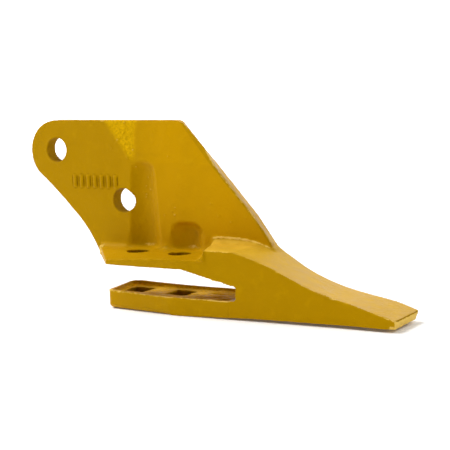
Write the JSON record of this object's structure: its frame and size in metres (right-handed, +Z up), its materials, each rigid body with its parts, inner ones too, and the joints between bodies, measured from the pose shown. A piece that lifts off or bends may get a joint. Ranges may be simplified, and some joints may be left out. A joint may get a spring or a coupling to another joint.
{
  "type": "bucket side cutter tooth",
  "caption": "Bolt-on corner tooth for a digger bucket: upright side plate, fork that clamps the bucket's lip plate, and a wedge point ending in a blunt chisel tip.",
  "frame": {"origin": "midway between the two lip bolts, on the roof of the fork slot, where the top face of the bucket's lip plate is clamped", "axes": "+X forward along the point, +Y to the outer side, towards the bucket's side plate, +Z up along the lip bolts"},
  "size_m": [0.4054, 0.06, 0.1736],
  "materials": {
    "plate_paint": "satin industrial yellow paint over rough steel",
    "jaw_paint": "satin industrial yellow paint over rough steel",
    "point_paint": "satin industrial yellow paint over rough steel, pale on its upper face",
    "weld_paint": "thin yellow paint over weld beads, tan where it is worn"
  },
  "bodies": {
    "root": {"side_plate": "plate_paint", "upper_jaw": "jaw_paint", "lower_jaw": "jaw_paint", "nose_point": "point_paint", "jaw_fillet_welds": "weld_paint", "shoulder_weld": "weld_paint", "nose_top_weld": "weld_paint", "leading_edge_weld": "weld_paint", "rear_end_weld": "weld_paint", "back_seam_weld": "weld_paint", "upper_jaw_seam_weld": "weld_paint", "lower_jaw_seam_weld": "weld_paint"}
  },
  "joints": []
}
